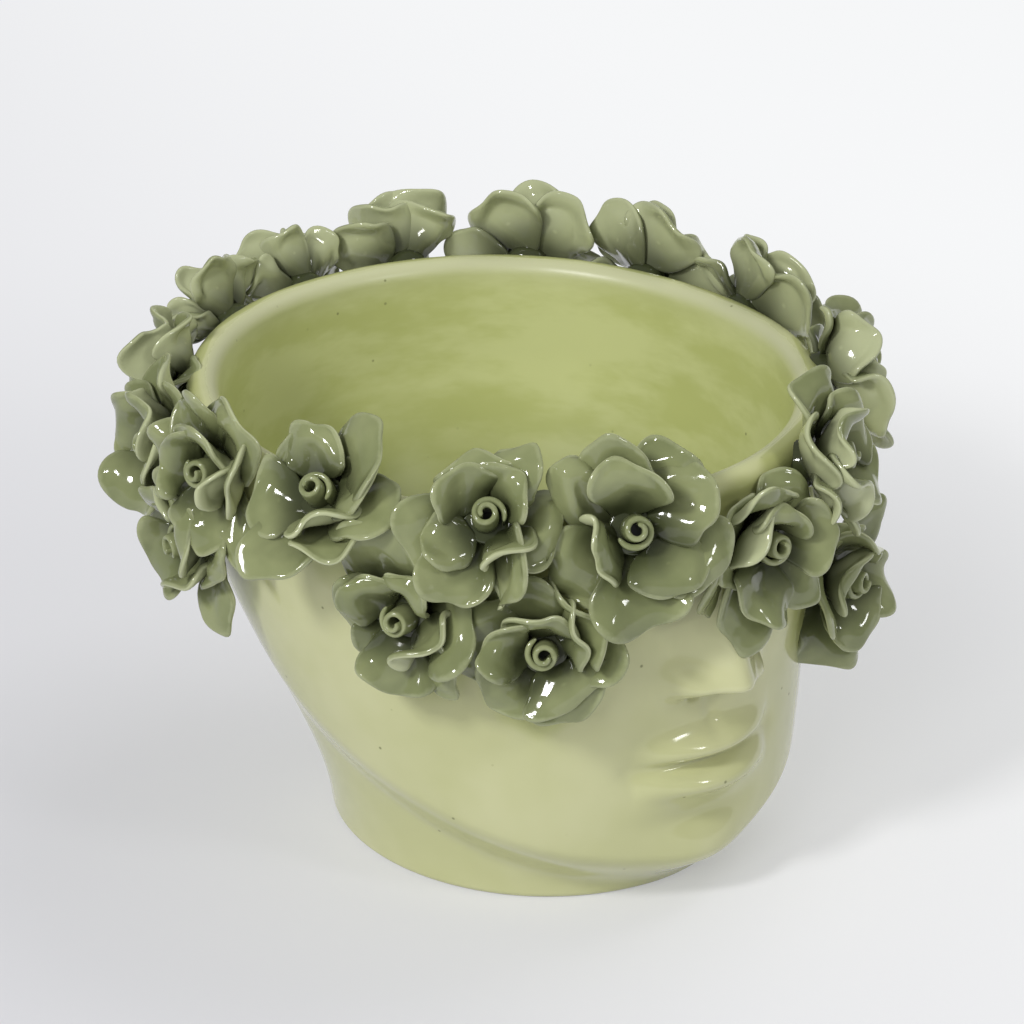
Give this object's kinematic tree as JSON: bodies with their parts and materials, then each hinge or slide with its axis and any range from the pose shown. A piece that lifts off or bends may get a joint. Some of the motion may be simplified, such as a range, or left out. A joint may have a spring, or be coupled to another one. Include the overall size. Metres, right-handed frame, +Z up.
{
  "type": "cachepot",
  "caption": "Glazed ceramic cachepot in the shape of a calm head cut off at the brow, its open mouth ringed by hand-built roses that stand on and below the rim.",
  "frame": {"origin": "the middle of the flat foot, on the surface that the pot stands on", "axes": "+Z is up through the open mouth, -Y is the way the face looks, +X is the side of the face's own left"},
  "size_m": [0.2878, 0.297, 0.1957],
  "materials": {
    "pot_glaze": "pale yellow-green gloss glaze",
    "rose_glaze": "darker sage green gloss glaze"
  },
  "bodies": {
    "root": {"pot_body": "pot_glaze", "rose_01_bud": "rose_glaze", "rose_01_inner_petals": "rose_glaze", "rose_01_outer_petals": "rose_glaze", "rose_02_bud": "rose_glaze", "rose_02_inner_petals": "rose_glaze", "rose_02_outer_petals": "rose_glaze", "rose_03_bud": "rose_glaze", "rose_03_inner_petals": "rose_glaze", "rose_03_outer_petals": "rose_glaze", "rose_04_bud": "rose_glaze", "rose_04_inner_petals": "rose_glaze", "rose_04_outer_petals": "rose_glaze", "rose_05_bud": "rose_glaze", "rose_05_inner_petals": "rose_glaze", "rose_05_outer_petals": "rose_glaze", "rose_06_bud": "rose_glaze", "rose_06_inner_petals": "rose_glaze", "rose_06_outer_petals": "rose_glaze", "rose_07_bud": "rose_glaze", "rose_07_inner_petals": "rose_glaze", "rose_07_outer_petals": "rose_glaze", "rose_08_bud": "rose_glaze", "rose_08_inner_petals": "rose_glaze", "rose_08_outer_petals": "rose_glaze", "rose_09_bud": "rose_glaze", "rose_09_inner_petals": "rose_glaze", "rose_09_outer_petals": "rose_glaze", "rose_10_bud": "rose_glaze", "rose_10_inner_petals": "rose_glaze", "rose_10_outer_petals": "rose_glaze", "rose_11_bud": "rose_glaze", "rose_11_inner_petals": "rose_glaze", "rose_11_outer_petals": "rose_glaze", "rose_12_bud": "rose_glaze", "rose_12_inner_petals": "rose_glaze", "rose_12_outer_petals": "rose_glaze", "rose_13_bud": "rose_glaze", "rose_13_inner_petals": "rose_glaze", "rose_13_outer_petals": "rose_glaze", "rose_14_bud": "rose_glaze", "rose_14_inner_petals": "rose_glaze", "rose_14_outer_petals": "rose_glaze", "rose_15_bud": "rose_glaze", "rose_15_inner_petals": "rose_glaze", "rose_15_outer_petals": "rose_glaze", "rose_16_bud": "rose_glaze", "rose_16_inner_petals": "rose_glaze", "rose_16_outer_petals": "rose_glaze", "rose_17_bud": "rose_glaze", "rose_17_inner_petals": "rose_glaze", "rose_17_outer_petals": "rose_glaze", "rose_18_bud": "rose_glaze", "rose_18_inner_petals": "rose_glaze", "rose_18_outer_petals": "rose_glaze", "rose_19_bud": "rose_glaze", "rose_19_inner_petals": "rose_glaze", "rose_19_outer_petals": "rose_glaze"}
  },
  "joints": []
}
